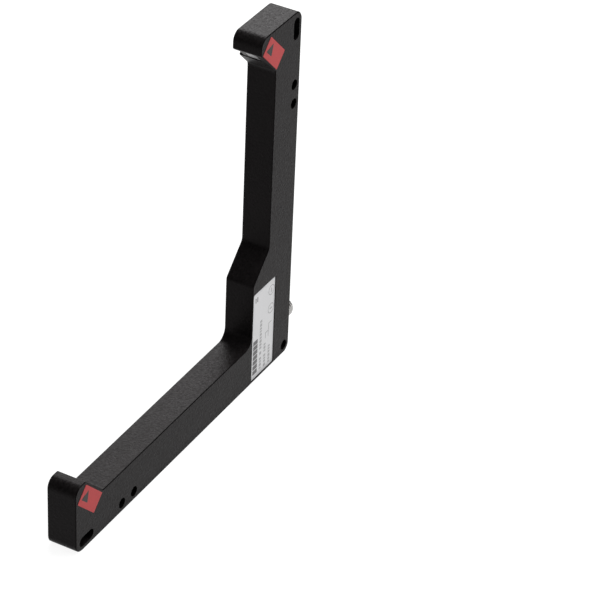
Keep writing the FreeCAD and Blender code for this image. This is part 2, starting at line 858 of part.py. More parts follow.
def make_source(label, head, domed):
    """Square package on the small board: the light source has a dome, the receiver a sunk window."""
    body = new_body(label)
    half = "source_size / 2"
    low = "-source_size / 2"
    front = "%s - source_height" % HOLDER_BACK
    optics_plate(body, head, half, half, low, half, front, HOLDER_BACK)
    if domed:
        sketch = sketch_on(body, "XY_Plane", front)
        circle(sketch, ("0", "0"), "source_dome")
        pad(body, sketch, "source_height / 3", reverse=True)
        crown = number("%s - source_height / 3" % front)
        dress(body, "Chamfer", "source_height / 4", lambda edge: abs(edge.BoundBox.ZMax - crown) < NEAR)
    else:
        sketch = sketch_on(body, "XY_Plane", front)
        rectangle(sketch, "-source_dome / 2", "-source_dome / 2", "source_dome", "source_dome")
        pocket(body, sketch, "source_height / 4", reverse=True)
    place_behind_window(body, head)


# Main board and what stands on it

def board_outline():
    """L-shaped board: a strip along each leg, a wide part in the bay, and a 45 degree edge at each head
    that meets the small board. It clears every screw boss."""
    edge = BOARD_EDGE
    strip = STRIP_EDGE
    clear = "block_width / 2 + board_play"
    corner = "%s + %s" % (SCREW_INSET, clear)
    end = "leg_length - cover_rim - ledge_width - board_play"
    notch = "%s - (%s)" % (SCREW_HEAD_END, clear)
    shift = "leg_length - nose_width - head_reach + (%s) / cos(45 deg)" % OPTICS_BACK
    bay = "bay_reach - ledge_width - board_play"
    bay_notch = "bay_reach - screw_edge - (%s)" % clear
    bay_top = "bay_screw - (%s)" % clear
    lobe_top = "bay_screw + screw_edge"
    lower = [(corner, edge), (notch, edge), (notch, corner), (end, corner)]
    lower.append((end, "%s - (%s)" % (end, shift)))
    lower.append(("%s + %s" % (strip, shift), strip))
    middle = [(bay, strip), (bay, bay_top), (bay_notch, bay_top), (bay_notch, lobe_top)]
    middle.append((strip, "%s + %s - (%s)" % (lobe_top, bay_notch, strip)))
    upper = swap(lower)[::-1]
    return lower + middle + upper + [(corner, corner)]


def make_main_board():
    body = new_body("main_board")
    sketch = plan_sketch(body, BOARD_TOP)
    plan_polygon(sketch, board_outline())
    pad(body, sketch, "board_thickness")
    sketch = plan_sketch(body, BOARD_TOP)
    plan_circles(sketch, BOARD_SCREWS, "board_screw_size + 4 * screw_play")
    pocket(body, sketch, "board_thickness", reverse=True)


def make_board_screws():
    screws = []
    for i, point in enumerate(BOARD_SCREWS):
        body = new_body("board_screw_%d" % (i + 1))
        turned(body, [
            ("0", "board_screw_head_height"),
            ("board_screw_head / 2", "board_screw_head_height"),
            ("board_screw_head / 2", "0"),
            ("board_screw_size / 2", "0"),
            ("board_screw_size / 2", "-board_screw_length"),
            ("0", "-board_screw_length"),
        ])
        place_in_plan(body, point, BOARD_TOP)
        screws.append(body)
    group("board_screws", screws)


def make_package(label, point, length, width, height):
    """Moulded package on the main board with its top edges bevelled, length along u."""
    body = new_body(label)
    sketch = sketch_on(body, "XY_Plane")
    rectangle(sketch, "-(%s) / 2" % length, "-(%s) / 2" % width, length, width)
    pad(body, sketch, height)
    top = number(height)
    dress(body, "Chamfer", "(%s) / 8" % height, lambda edge: edge.BoundBox.ZMin > top - NEAR)
    place_in_plan(body, point, BOARD_TOP)
    return body


def make_components():
    make_package("controller_chip", ("bay_reach - controller_setback", "controller_up"),
                 "controller_size", "controller_size", "controller_height")
    make_package("voltage_regulator", ("bay_reach - regulator_setback", "regulator_up"),
                 "regulator_length", "regulator_width", "regulator_height")
    make_package("output_transistor", ("transistor_across", "transistor_up"),
                 "transistor_length", "transistor_width", "transistor_height")
    capacitors = []
    for i in range(2):
        point = ("capacitor_across", "capacitor_up + %d * capacitor_pitch" % i)
        capacitors.append(make_package("capacitor_%d" % (i + 1), point,
                                       "capacitor_length", "capacitor_width", "capacitor_height"))
    group("capacitors", capacitors)
    head_chip = ("head_chip_across", "leg_length - head_chip_setback")
    make_package("amplifier_chip", head_chip, "head_chip_size", "head_chip_size", "head_chip_height")
    make_package("driver_chip", head_chip[::-1], "head_chip_size", "head_chip_size", "head_chip_height")


# Plug connector, turned about its own axis, which points out of the upright leg's outer face

def make_connector_shell():
    """Sleeve: seat in the wall, relief groove against the wall, thread and lead-in."""
    body = new_body("connector_shell")
    step = "plug_reach - plug_bore_depth"
    turned(body, [
        ("carrier_bore / 2", "-plug_engagement"),
        ("plug_seat / 2", "-plug_engagement"),
        ("plug_seat / 2", "plug_relief"),
        ("plug_thread / 2", "plug_relief"),
        ("plug_thread / 2", "plug_reach - plug_chamfer"),
        ("plug_thread / 2 - plug_chamfer", "plug_reach"),
        ("plug_bore / 2", "plug_reach"),
        ("plug_bore / 2", step),
        ("carrier_bore / 2", step),
    ])
    place_on_side(body, "connector_height")


def make_connector_insert():
    body = new_body("connector_insert")
    step = "plug_reach - plug_bore_depth"
    turned(body, [
        ("0", "-carrier_tail"),
        ("carrier_bore / 2 - screw_play", "-carrier_tail"),
        ("carrier_bore / 2 - screw_play", step),
        ("plug_bore / 2 - screw_play", step),
        ("plug_bore / 2 - screw_play", "%s + carrier_flange" % step),
        ("0", "%s + carrier_flange" % step),
    ])
    sketch = sketch_on(body, "XY_Plane", "-carrier_tail")
    for place_of_pin in pin_places():
        circle(sketch, place_of_pin, "pin_size")
    pocket(body, sketch, reverse=True)
    place_on_side(body, "connector_height")


def pin_places():
    """Centres of the three contacts about the plug's axis, one towards the back face."""
    turns = (90, 210, 330)
    return [("pin_circle / 2 * cos(%d deg)" % a, "pin_circle / 2 * sin(%d deg)" % a) for a in turns]


def make_connector_pins():
    pins = []
    for i, (x, y) in enumerate(pin_places()):
        body = new_body("connector_pin_%d" % (i + 1))
        sketch = sketch_on(body, "XY_Plane", "-pin_tail")
        circle(sketch, (x, y), "pin_size")
        pad(body, sketch, "pin_tail + plug_reach - pin_setback")
        place_on_side(body, "connector_height")
        pins.append(body)
    group("connector_pins", pins)


def make_connector_seal():
    body = new_body("connector_seal")
    middle = "(plug_seat - plug_seal_section) / 2"
    ring(body, middle, "-plug_engagement - plug_seal_section / 2", "plug_seal_section")
    place_on_side(body, "connector_height")


# Sensitivity setting: spindle, its ring and the trimmer's rotor turn together

def make_spindle():
    body = new_body("adjuster_spindle")
    head = "spindle_head / 2"
    neck = "spindle_neck / 2"
    root = "spindle_head / 2 - groove_depth"
    groove_top = "-spindle_recess - groove_setback"
    head_end = "-spindle_recess - spindle_head_length"
    blade_start = "-(%s) - running_clearance" % TRIMMER_FRONT
    turned(body, [
        ("0", "-spindle_recess"),
        (head, "-spindle_recess"),
        (head, groove_top),
        (root, groove_top),
        (root, "%s - groove_width" % groove_top),
        (head, "%s - groove_width" % groove_top),
        (head, head_end),
        (neck, head_end),
        (neck, blade_start),
        ("0", blade_start),
    ])
    sketch = sketch_on(body, "XY_Plane", "-spindle_recess")
    rectangle(sketch, "-spindle_head", "-spindle_slot / 2", "2 * spindle_head", "spindle_slot")
    pocket(body, sketch, "spindle_slot_depth")
    sketch = sketch_on(body, "XY_Plane", blade_start)
    rectangle(sketch, "-spindle_neck * 2 / 5", "-blade_thickness / 2", "spindle_neck * 4 / 5",
              "blade_thickness")
    pad(body, sketch, "blade_length", reverse=True)
    place_on_side(body, "adjuster_height")


def make_adjuster_seal():
    body = new_body("adjuster_seal")
    middle = "(spindle_head - groove_depth) / 2 + running_clearance / 2"
    ring(body, middle, "-spindle_recess - groove_setback - groove_width / 2", "ring_section")
    place_on_side(body, "adjuster_height")


def make_trimmer():
    rotor = new_body("trimmer_rotor")
    front = "-(%s) - 2 * running_clearance" % TRIMMER_FRONT
    sketch = sketch_on(rotor, "XY_Plane", front)
    circle(sketch, ("0", "0"), "rotor_size")
    pad(rotor, sketch, "rotor_length", reverse=True)
    sketch = sketch_on(rotor, "XY_Plane", front)
    rectangle(sketch, "-rotor_size", "-blade_thickness / 2 - running_clearance", "2 * rotor_size",
              "blade_thickness + 2 * running_clearance")
    pocket(rotor, sketch, "blade_length + running_clearance")
    place_on_side(rotor, "adjuster_height")
    body = new_body("trimmer_body")
    height = "2 * (%s - (%s))" % (BOARD_TOP, AXIS_LEVEL)
    sketch = sketch_on(body, "XY_Plane", "-(%s)" % TRIMMER_FRONT)
    rectangle(sketch, "-trimmer_width / 2", "-(%s) / 2" % height, "trimmer_width", height)
    pad(body, sketch, "trimmer_length", reverse=True)
    sketch = sketch_on(body, "XY_Plane", "-(%s)" % TRIMMER_FRONT)
    circle(sketch, ("0", "0"), "rotor_size + 2 * running_clearance")
    pocket(body, sketch, "rotor_length + 3 * running_clearance")
    place_on_side(body, "adjuster_height")


def make_indicator():
    """Light guide through the wall, and the light source behind it on the board."""
    guide = new_body("light_guide")
    sketch = sketch_on(guide, "XY_Plane", "-(%s)" % CHANNEL_INSET)
    circle(sketch, ("0", "0"), "guide_size")
    pad(guide, sketch, "%s + guide_crown" % CHANNEL_INSET)
    top = number("guide_crown")
    dress(guide, "Chamfer", "guide_crown * 3 / 4", lambda edge: abs(edge.BoundBox.ZMin - top) < NEAR)
    place_on_side(guide, "status_height")
    lamp = new_body("status_led")
    front = "-(%s) - board_play" % CHANNEL_INSET
    sketch = sketch_on(lamp, "XY_Plane", front)
    low = "%s - (%s)" % (AXIS_LEVEL, BOARD_TOP)
    rectangle(sketch, "-indicator_width / 2", low, "indicator_width", "indicator_height")
    pad(lamp, sketch, "indicator_length", reverse=True)
    place_on_side(lamp, "status_height")


def build():
    """Make the sheet and every sub-part."""
    fill_sheet()
    make_housing()
    make_cover()
    make_cover_seal()
    make_cover_screws()
    make_label()
    make_mark("receiver_mark", False)
    make_mark("emitter_mark", True)
    for name, head in HEADS.items():
        make_window(name, head)
        make_holder(name, head)
        make_lens(name, head)
        make_small_board(name, head)
    make_source("emitter_led", HEADS["emitter"], domed=True)
    make_source("receiver_diode", HEADS["receiver"], domed=False)
    make_main_board()
    make_board_screws()
    make_components()
    make_connector_shell()
    make_connector_insert()
    make_connector_pins()
    make_connector_seal()
    make_spindle()
    make_adjuster_seal()
    make_trimmer()
    make_indicator()
    doc.recompute()


def sub_parts():
    """Bodies that stand alone and groups of identical solids, by label."""
    groups = [item for item in doc.Objects if item.TypeId == "Part::Compound"]
    grouped = {link.Name for item in groups for link in item.Links}
    bodies = [item for item in doc.Objects if item.TypeId == "PartDesign::Body"]
    return {item.Label: item for item in bodies + groups if item.Name not in grouped}


def check_and_write():
    for item in doc.Objects:
        if "Invalid" in item.State or "Error" in item.State:
            raise ValueError("failed feature: " + item.Name)
    parts = sub_parts()
    for label, item in parts.items():
        shape = item.Shape
        if shape.isNull() or not shape.isValid() or not shape.Solids:
            raise ValueError("bad shape: " + label)
    os.makedirs("parts", exist_ok=True)
    for label, item in sorted(parts.items()):
        item.Shape.exportStep("parts/%s.step" % label)
        print(label, len(item.Shape.Solids), "solid(s), volume", round(item.Shape.Volume, 2))


build()
check_and_write()
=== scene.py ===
import math

import bpy
import numpy as np
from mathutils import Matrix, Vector


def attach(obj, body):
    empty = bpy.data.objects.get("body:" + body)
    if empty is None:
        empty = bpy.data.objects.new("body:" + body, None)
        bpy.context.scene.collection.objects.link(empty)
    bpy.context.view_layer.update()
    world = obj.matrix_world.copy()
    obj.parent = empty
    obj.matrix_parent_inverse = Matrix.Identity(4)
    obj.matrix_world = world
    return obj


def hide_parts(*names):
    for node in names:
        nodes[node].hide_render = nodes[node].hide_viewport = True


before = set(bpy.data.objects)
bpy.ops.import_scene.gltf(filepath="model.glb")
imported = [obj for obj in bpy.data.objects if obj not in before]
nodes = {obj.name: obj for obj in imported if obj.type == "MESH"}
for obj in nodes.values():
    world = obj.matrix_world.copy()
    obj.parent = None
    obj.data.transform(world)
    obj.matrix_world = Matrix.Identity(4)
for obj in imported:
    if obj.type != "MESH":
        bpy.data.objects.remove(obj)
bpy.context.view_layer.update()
print("stage: frame loaded")

mm = 0.001


def startMaterial(name):
    material = bpy.data.materials.new(name)
    material.use_nodes = True
    return material, material.node_tree, material.node_tree.nodes["Principled BSDF"]


def addNode(tree, kind, **settings):
    node = tree.nodes.new(kind)
    for key, value in settings.items():
        setattr(node, key, value)
    return node


def setInputs(node, values):
    for label, value in values.items():
        node.inputs[label].default_value = value


def join(tree, source, target):
    tree.links.new(source, target)


# a socket is linked to the target, anything else becomes the target's own value
def feed(tree, value, target):
    if isinstance(value, bpy.types.NodeSocket):
        join(tree, value, target)
    else:
        target.default_value = value


def startGroup(name, inputs, outputs):
    tree = bpy.data.node_groups.new(name, "ShaderNodeTree")
    for label, kind, value in inputs:
        socket = tree.interface.new_socket(label, in_out="INPUT", socket_type=kind)
        socket.default_value = value
    for label, kind in outputs:
        tree.interface.new_socket(label, in_out="OUTPUT", socket_type=kind)
    return tree, tree.nodes.new("NodeGroupInput"), tree.nodes.new("NodeGroupOutput")


def mathNode(tree, operation, first, second=None):
    node = addNode(tree, "ShaderNodeMath", operation=operation)
    feed(tree, first, node.inputs[0])
    if second is not None:
        feed(tree, second, node.inputs[1])
    return node.outputs[0]


def noiseNode(tree, vector, scale, detail, roughness=0.55):
    node = addNode(tree, "ShaderNodeTexNoise")
    setInputs(node, {"Detail": detail, "Roughness": roughness})
    feed(tree, scale, node.inputs["Scale"])
    join(tree, vector, node.inputs["Vector"])
    return node.outputs[0]


# the mix node's colours are its inputs 6 and 7, and the mixed colour is its output 2
def mixColors(tree, share, first, second):
    node = addNode(tree, "ShaderNodeMix", data_type="RGBA")
    join(tree, share, node.inputs["Factor"])
    feed(tree, first, node.inputs[6])
    feed(tree, second, node.inputs[7])
    return node.outputs[2]


def addBump(tree, shader, height, strength, depth):
    bump = addNode(tree, "ShaderNodeBump")
    setInputs(bump, {"Strength": strength, "Distance": depth})
    join(tree, height, bump.inputs["Height"])
    join(tree, bump.outputs["Normal"], shader.inputs["Normal"])


def grey(level):
    return (level, level, level, 1)


# grain: two scales of noise vary the colour and the gloss, and the fine one is the bump's height
grainLook = dict(fineDetail=2.0, broadDetail=4.0, broadRoughness=0.6, fineShare=0.6,
                 broadShare=0.4, low=0.32, high=0.68, middle=0.5)


def makeGrainGroup():
    tree, given, result = startGroup(
        "surfaceGrain",
        [("Dark", "NodeSocketColor", (0.02, 0.02, 0.02, 1)),
         ("Light", "NodeSocketColor", (0.03, 0.03, 0.03, 1)),
         ("Fine Scale", "NodeSocketFloat", 3000.0),
         ("Broad Scale", "NodeSocketFloat", 60.0),
         ("Gloss", "NodeSocketFloat", 0.5),
         ("Gloss Change", "NodeSocketFloat", 0.1)],
        [("Color", "NodeSocketColor"), ("Roughness", "NodeSocketFloat"),
         ("Height", "NodeSocketFloat")])
    place = addNode(tree, "ShaderNodeTexCoord").outputs["Object"]
    fine = noiseNode(tree, place, given.outputs["Fine Scale"], grainLook["fineDetail"])
    broad = noiseNode(tree, place, given.outputs["Broad Scale"], grainLook["broadDetail"],
                      grainLook["broadRoughness"])
    both = mathNode(tree, "ADD", mathNode(tree, "MULTIPLY", fine, grainLook["fineShare"]),
                    mathNode(tree, "MULTIPLY", broad, grainLook["broadShare"]))
    ramp = addNode(tree, "ShaderNodeMapRange")
    setInputs(ramp, {"From Min": grainLook["low"], "From Max": grainLook["high"]})
    join(tree, both, ramp.inputs["Value"])
    color = mixColors(tree, ramp.outputs[0], given.outputs["Dark"], given.outputs["Light"])
    join(tree, color, result.inputs["Color"])
    spread = mathNode(tree, "MULTIPLY", mathNode(tree, "SUBTRACT", fine, grainLook["middle"]),
                      given.outputs["Gloss Change"])
    join(tree, mathNode(tree, "ADD", given.outputs["Gloss"], spread), result.inputs["Roughness"])
    join(tree, fine, result.inputs["Height"])
    return tree


grainGroup = makeGrainGroup()


# painted shade: darkens the colour in bores and narrow gaps, where shade falls, and on the broken
# edges round the flat faces, where it paints a dark reflection
shadeLook = dict(reach=0.004, samples=8, lean=0.7071, band=0.12)


def makeShadeGroup():
    tree, given, result = startGroup(
        "hollowShade",
        [("Color", "NodeSocketColor", (0.5, 0.5, 0.5, 1)), ("Depth", "NodeSocketFloat", 2.0),
         ("Edge", "NodeSocketFloat", 1.0)],
        [("Color", "NodeSocketColor")])
    hollow = addNode(tree, "ShaderNodeAmbientOcclusion", samples=shadeLook["samples"])
    setInputs(hollow, {"Distance": shadeLook["reach"]})
    openness = mathNode(tree, "POWER", hollow.outputs["AO"], given.outputs["Depth"])
    split = addNode(tree, "ShaderNodeSeparateXYZ")
    join(tree, addNode(tree, "ShaderNodeNewGeometry").outputs["True Normal"], split.inputs[0])
    lean = mathNode(tree, "ABSOLUTE", split.outputs["Y"])
    off = mathNode(tree, "ABSOLUTE", mathNode(tree, "SUBTRACT", lean, shadeLook["lean"]))
    edge = mathNode(tree, "LESS_THAN", off, shadeLook["band"])
    kept = mathNode(tree, "SUBTRACT", 1.0, mathNode(tree, "MULTIPLY", edge, given.outputs["Edge"]))
    scale = addNode(tree, "ShaderNodeVectorMath", operation="SCALE")
    join(tree, given.outputs["Color"], scale.inputs[0])
    join(tree, mathNode(tree, "MULTIPLY", openness, kept), scale.inputs["Scale"])
    join(tree, scale.outputs[0], result.inputs["Color"])
    return tree


shadeGroup = makeShadeGroup()


def grainMaterial(name, look):
    material, tree, shader = startMaterial(name)
    grain = addNode(tree, "ShaderNodeGroup", node_tree=grainGroup)
    setInputs(grain, {"Dark": (*look["dark"], 1), "Light": (*look["light"], 1),
                      "Fine Scale": look["fineScale"], "Broad Scale": look["broadScale"],
                      "Gloss": look["gloss"], "Gloss Change": look["glossChange"]})
    # the base colour gets painted shade in bores and gaps and a painted dark reflection on the
    # broken edges
    shade = addNode(tree, "ShaderNodeGroup", node_tree=shadeGroup)
    setInputs(shade, {"Depth": look.get("hollow", 1.0), "Edge": look.get("edge", 0.0)})
    join(tree, grain.outputs["Color"], shade.inputs["Color"])
    join(tree, shade.outputs["Color"], shader.inputs["Base Color"])
    join(tree, grain.outputs["Roughness"], shader.inputs["Roughness"])
    addBump(tree, shader, grain.outputs["Height"], look["bump"], look["bumpDepth"])
    setInputs(shader, look.get("shader", {}))
    return material


finishes = {
    # the anodised finish's hollow power and edge strength set its painted shade in bores and gaps
    # and the painted dark reflection on its broken edges
    "anodised": dict(dark=(0.0048, 0.0042, 0.0043), light=(0.0144, 0.0126, 0.0128),
                     fineScale=1150.0, broadScale=45.0, gloss=0.38, glossChange=0.55, bump=1.0,
                     bumpDepth=0.00012, hollow=3.0, edge=0.85,
                     shader={"Specular IOR Level": 0.055, "Specular Tint": (1.0, 0.92, 0.93, 1)}),
    "screwSteel": dict(dark=(0.36, 0.36, 0.35), light=(0.52, 0.51, 0.5), fineScale=2500.0,
                       broadScale=120.0, gloss=0.34, glossChange=0.2, bump=0.15,
                       bumpDepth=0.00003, shader={"Metallic": 1.0}),
    "nickel": dict(dark=(0.42, 0.41, 0.4), light=(0.54, 0.53, 0.52), fineScale=1800.0,
                   broadScale=90.0, gloss=0.26, glossChange=0.14, bump=0.1, bumpDepth=0.00002,
                   shader={"Metallic": 1.0}),
    "gold": dict(dark=(0.72, 0.5, 0.2), light=(0.86, 0.63, 0.28), fineScale=2600.0,
                 broadScale=200.0, gloss=0.24, glossChange=0.1, bump=0.08, bumpDepth=0.00002,
                 shader={"Metallic": 1.0}),
    "plate": dict(dark=(0.76, 0.76, 0.77), light=(0.82, 0.82, 0.83), fineScale=2200.0,
                  broadScale=40.0, gloss=0.42, glossChange=0.12, bump=0.12, bumpDepth=0.00003,
                  shader={"Specular IOR Level": 0.4}),
    "markRed": dict(dark=(0.47, 0.05, 0.052), light=(0.56, 0.064, 0.066), fineScale=1800.0,
                    broadScale=60.0, gloss=0.5, glossChange=0.12, bump=0.1, bumpDepth=0.00003,
                    shader={"Specular IOR Level": 0.2}),
    "arrowInk": dict(dark=(0.03, 0.025, 0.024), light=(0.045, 0.038, 0.036), fineScale=2400.0,
                     broadScale=80.0, gloss=0.5, glossChange=0.12, bump=0.1, bumpDepth=0.00002,
                     shader={"Specular IOR Level": 0.2}),
    "boldInk": dict(dark=(0.1, 0.098, 0.1), light=(0.14, 0.136, 0.14), fineScale=2400.0,
                    broadScale=80.0, gloss=0.5, glossChange=0.12, bump=0.1, bumpDepth=0.00002),
    "fineInk": dict(dark=(0.4, 0.395, 0.4), light=(0.48, 0.475, 0.48), fineScale=2400.0,
                    broadScale=80.0, gloss=0.5, glossChange=0.12, bump=0.1, bumpDepth=0.00002),
    "blackPlastic": dict(dark=(0.022, 0.022, 0.023), light=(0.038, 0.038, 0.039),
                         fineScale=1500.0, broadScale=70.0, gloss=0.46, glossChange=0.16,
                         bump=0.25, bumpDepth=0.00005),
    "border": dict(dark=(0.05, 0.047, 0.047), light=(0.075, 0.07, 0.07), fineScale=2000.0,
                   broadScale=90.0, gloss=0.5, glossChange=0.12, bump=0.15, bumpDepth=0.00003,
                   shader={"Specular IOR Level": 0.25}),
    "board": dict(dark=(0.008, 0.09, 0.036), light=(0.016, 0.14, 0.06), fineScale=1600.0,
                  broadScale=140.0, gloss=0.34, glossChange=0.1, bump=0.2, bumpDepth=0.00004),
    "chip": dict(dark=(0.018, 0.018, 0.019), light=(0.03, 0.03, 0.032), fineScale=4200.0,
                 broadScale=300.0, gloss=0.6, glossChange=0.14, bump=0.3, bumpDepth=0.00004),
    "ceramic": dict(dark=(0.3, 0.2, 0.13), light=(0.42, 0.3, 0.2), fineScale=5200.0,
                    broadScale=500.0, gloss=0.44, glossChange=0.12, bump=0.15,
                    bumpDepth=0.00002),
    "lamp": dict(dark=(0.72, 0.72, 0.68), light=(0.84, 0.84, 0.79), fineScale=900.0,
                 broadScale=150.0, gloss=0.2, glossChange=0.08, bump=0.05, bumpDepth=0.00002),
    "seal": dict(dark=(0.01, 0.01, 0.01), light=(0.018, 0.018, 0.018), fineScale=2600.0,
                 broadScale=200.0, gloss=0.68, glossChange=0.16, bump=0.3, bumpDepth=0.00005,
                 shader={"Specular IOR Level": 0.35}),
    "bluePlastic": dict(dark=(0.03, 0.1, 0.34), light=(0.045, 0.14, 0.44), fineScale=1500.0,
                        broadScale=150.0, gloss=0.42, glossChange=0.12, bump=0.15,
                        bumpDepth=0.00003),
}
materials = {name: grainMaterial(name, look) for name, look in finishes.items()}


# clear parts: a little wave in the surface, and clear is the share that lets light through
clearLook = dict(detail=2.0, glossWave=0.04, waveDepth=0.00005)
clearParts = {
    "pane": dict(color=(0.48, 0.47, 0.48, 1), clear=0.45, gloss=0.28, ior=1.49, wave=0.05,
                 waveScale=120.0),
    "lens": dict(color=(0.97, 0.97, 0.98, 1), clear=1.0, gloss=0.02, ior=1.53, wave=0.02,
                 waveScale=200.0),
    "clearPlastic": dict(color=(0.9, 0.92, 0.93, 1), clear=1.0, gloss=0.08, ior=1.5, wave=0.1,
                         waveScale=400.0),
}


def clearMaterial(name, look):
    material, tree, shader = startMaterial(name)
    setInputs(shader, {"Base Color": look["color"], "Transmission Weight": look["clear"],
                       "IOR": look["ior"]})
    place = addNode(tree, "ShaderNodeTexCoord").outputs["Object"]
    wave = noiseNode(tree, place, look["waveScale"], clearLook["detail"])
    spread = mathNode(tree, "MULTIPLY", wave, clearLook["glossWave"])
    join(tree, mathNode(tree, "ADD", spread, look["gloss"]), shader.inputs["Roughness"])
    addBump(tree, shader, wave, look["wave"], clearLook["waveDepth"])
    return material


materials.update({name: clearMaterial(name, look) for name, look in clearParts.items()})
print("stage: materials made")


# the finish that each CAD node wears
finishOfNode = {
    "anodised": ["housing", "back_cover"],
    "screwSteel": ["cover_screws", "board_screws"],
    "nickel": ["connector_shell"],
    "gold": ["connector_pins"],
    "plate": ["type_label"],
    "markRed": ["emitter_mark", "receiver_mark"],
    "pane": ["emitter_window", "receiver_window"],
    "lens": ["emitter_lens", "receiver_lens"],
    "blackPlastic": ["connector_insert", "emitter_holder", "receiver_holder",
                     "adjuster_spindle"],
    "board": ["main_board", "emitter_board", "receiver_board"],
    "chip": ["controller_chip", "voltage_regulator", "output_transistor", "amplifier_chip",
             "driver_chip", "receiver_diode"],
    "ceramic": ["capacitors"],
    "lamp": ["emitter_led", "status_led"],
    "seal": ["cover_seal", "connector_seal", "adjuster_seal"],
    "bluePlastic": ["trimmer_body"],
    "clearPlastic": ["light_guide", "trimmer_rotor"],
}
for finish, names in finishOfNode.items():
    for name in names:
        mesh = nodes[name].data
        mesh.materials.clear()
        mesh.materials.append(materials[finish])
dressed = sorted(name for names in finishOfNode.values() for name in names)
print("stage: finishes on", len(dressed), "of", len(nodes), "nodes",
      sorted(set(nodes) - set(dressed)))


# one shaded mesh, with sharp edges where faces meet at more than sharpAngle degrees. Its last face
# has to look along outward, or all faces are turned over
def meshPiece(name, points, faces, material, outward, sharpAngle=35):
    mesh = bpy.data.meshes.new(name)
    mesh.from_pydata(np.asarray(points).tolist(), [], [tuple(face) for face in faces])
    mesh.update()
    if mesh.polygons[-1].normal.dot(outward) < 0:
        mesh.flip_normals()
    mesh.materials.append(material)
    mesh.polygons.foreach_set("use_smooth", [True] * len(mesh.polygons))
    mesh.set_sharp_from_angle(angle=math.radians(sharpAngle))
    mesh.update()
    piece = bpy.data.objects.new(name, mesh)
    bpy.context.scene.collection.objects.link(piece)
    return piece


# quads of a grid of rows by columns, closed round its columns, and round its rows if asked
def gridFaces(rows, columns, closeRows=False, start=0):
    lastRow = rows if closeRows else rows - 1
    row, column = np.meshgrid(np.arange(lastRow), np.arange(columns), indexing="ij")
    nextRow = (row + 1) % rows
    nextColumn = (column + 1) % columns
    corners = np.stack([row * columns + column, row * columns + nextColumn,
                        nextRow * columns + nextColumn, nextRow * columns + column], axis=-1)
    return corners.reshape(-1, 4) + start


# a flat patch: rings of one outline, shrinking to the centre on top, dropped at the rim and closed
# below. Each rim is given along and across, and lay turns along, across and level into space
def patchPiece(name, outlines, lay, top, bottom, material, outward=(0, -1, 0), ringShare=0.5):
    points, faces = [], []
    for rim in outlines:
        count = len(rim)
        start = sum(len(part) for part in points)
        centre = rim.mean(axis=0)
        inner, outer = [centre + (rim - centre) * share for share in (ringShare, 1.0)]
        flat = np.vstack([inner, outer, rim, centre, centre])
        levels = np.repeat([top, top, bottom, top, bottom], [count, count, count, 1, 1])
        points.append(lay(flat, levels))
        foot, topHub, footHub = start + 2 * count, start + 3 * count, start + 3 * count + 1
        around = [(c, (c + 1) % count) for c in range(count)]
        faces += gridFaces(3, count, start=start).tolist()
        faces += [(footHub, foot + c, foot + after) for c, after in around]
        faces += [(topHub, start + after, start + c) for c, after in around]
    return meshPiece(name, np.vstack(points), faces, material, outward)


# rim of a rounded box: a circle whose sine and cosine are raised to a small power, then stretched
def boxRim(centre, size, power=0.12, steps=32):
    turn = np.linspace(0, 2 * math.pi, steps, endpoint=False) + math.pi / steps
    wave = np.stack([np.cos(turn), np.sin(turn)], axis=1)
    shape = np.sign(wave) * np.abs(wave) ** power
    return np.array(centre) + shape * np.array(size) / 2


# rim of a triangle: three sides divided evenly, each corner cut back a little
def triangleRim(corners, cut=0.06, steps=8):
    corners = np.array(corners, float)
    share = np.linspace(cut, 1 - cut, steps)[:, None]
    return np.vstack([corners[i] * (1 - share) + corners[(i + 1) % 3] * share for i in range(3)])


# floor: rings about the object, radius growing as the square of the row. The camera, reflections
# and clear parts see its color and glow, and all other light meets fillColor
floorLook = dict(height=-0.00375, radius=4.0, inner=0.02, rows=24, columns=96, color=0.2,
                 glow=0.91, fillColor=0.3)


def makeFloor():
    material, tree, shader = startMaterial("studioFloor")
    tree.nodes.remove(shader)
    paths = addNode(tree, "ShaderNodeLightPath")
    seen = mathNode(tree, "MAXIMUM", paths.outputs["Is Camera Ray"],
                    paths.outputs["Is Glossy Ray"])
    seen = mathNode(tree, "MAXIMUM", seen, paths.outputs["Is Transmission Ray"])
    diffuse = addNode(tree, "ShaderNodeBsdfDiffuse")
    color = mixColors(tree, seen, grey(floorLook["fillColor"]), grey(floorLook["color"]))
    join(tree, color, diffuse.inputs["Color"])
    glow = addNode(tree, "ShaderNodeEmission")
    join(tree, mathNode(tree, "MULTIPLY", seen, floorLook["glow"]), glow.inputs["Strength"])
    both = addNode(tree, "ShaderNodeAddShader")
    join(tree, diffuse.outputs[0], both.inputs[0])
    join(tree, glow.outputs[0], both.inputs[1])
    join(tree, both.outputs[0], tree.nodes["Material Output"].inputs["Surface"])
    radius = floorLook["radius"] * np.linspace(floorLook["inner"], 1, floorLook["rows"]) ** 2
    angle = np.linspace(0, 2 * math.pi, floorLook["columns"], endpoint=False)
    ringRadius, ringAngle = np.meshgrid(radius, angle, indexing="ij")
    points = np.stack([ringRadius * np.cos(ringAngle), ringRadius * np.sin(ringAngle),
                       np.full_like(ringRadius, floorLook["height"])], axis=-1).reshape(-1, 3)
    points = np.vstack([points, [[0, 0, floorLook["height"]]]])
    centre = len(points) - 1
    faces = [tuple(face[::-1]) for face in gridFaces(len(radius), len(angle)).tolist()]
    faces += [(centre, c, (c + 1) % len(angle)) for c in range(len(angle))]
    return meshPiece("studioFloor", points, faces, material, outward=(0, 0, 1))


makeFloor()
print("stage: floor")


# plan to space: u runs from the upright leg's outer face towards -X, v from the lower leg's outer
# face up, both in millimetres and counted from originInset, and level is the place along Y
originInset = 3.75


def planToSpace(u, v, level):
    return np.stack([originInset - u, level, v - originInset], axis=1) * mm


